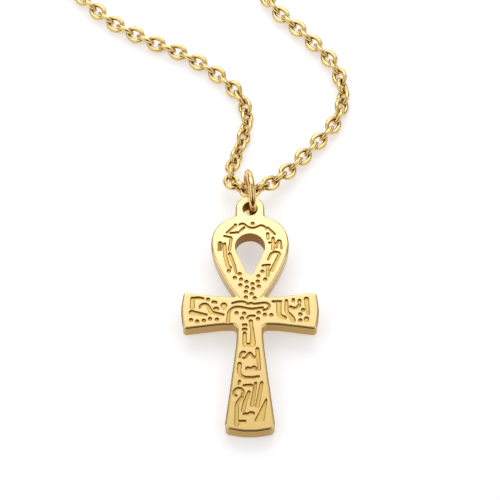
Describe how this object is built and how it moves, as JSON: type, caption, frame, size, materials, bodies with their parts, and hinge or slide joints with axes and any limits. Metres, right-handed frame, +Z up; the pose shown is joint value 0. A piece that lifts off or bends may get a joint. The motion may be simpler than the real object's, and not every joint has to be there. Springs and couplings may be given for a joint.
{
  "type": "ankh pendant",
  "caption": "Engraved ankh pendant with an eyelet and jump ring on a closed cable chain with a clasp, lying face up.",
  "frame": {"origin": "on the surface that the piece lies on, at the middle of its outline", "axes": "+Y from the pendant's foot to its eyelet and on along the necklace, +Z up from the surface, +X to the right across the pendant"},
  "size_m": [0.1229, 0.2006, 0.0083],
  "materials": {
    "satin_gold": "pale yellow gold plating, satin brushed face with brighter worn edges",
    "polished_gold": "polished yellow gold plating",
    "chain_gold": "polished yellow gold plating on fine wire"
  },
  "bodies": {
    "root": {"ankh": "satin_gold", "jump_ring": "polished_gold", "chain_left": "chain_gold", "chain_right": "chain_gold", "clasp": "polished_gold"}
  },
  "joints": []
}
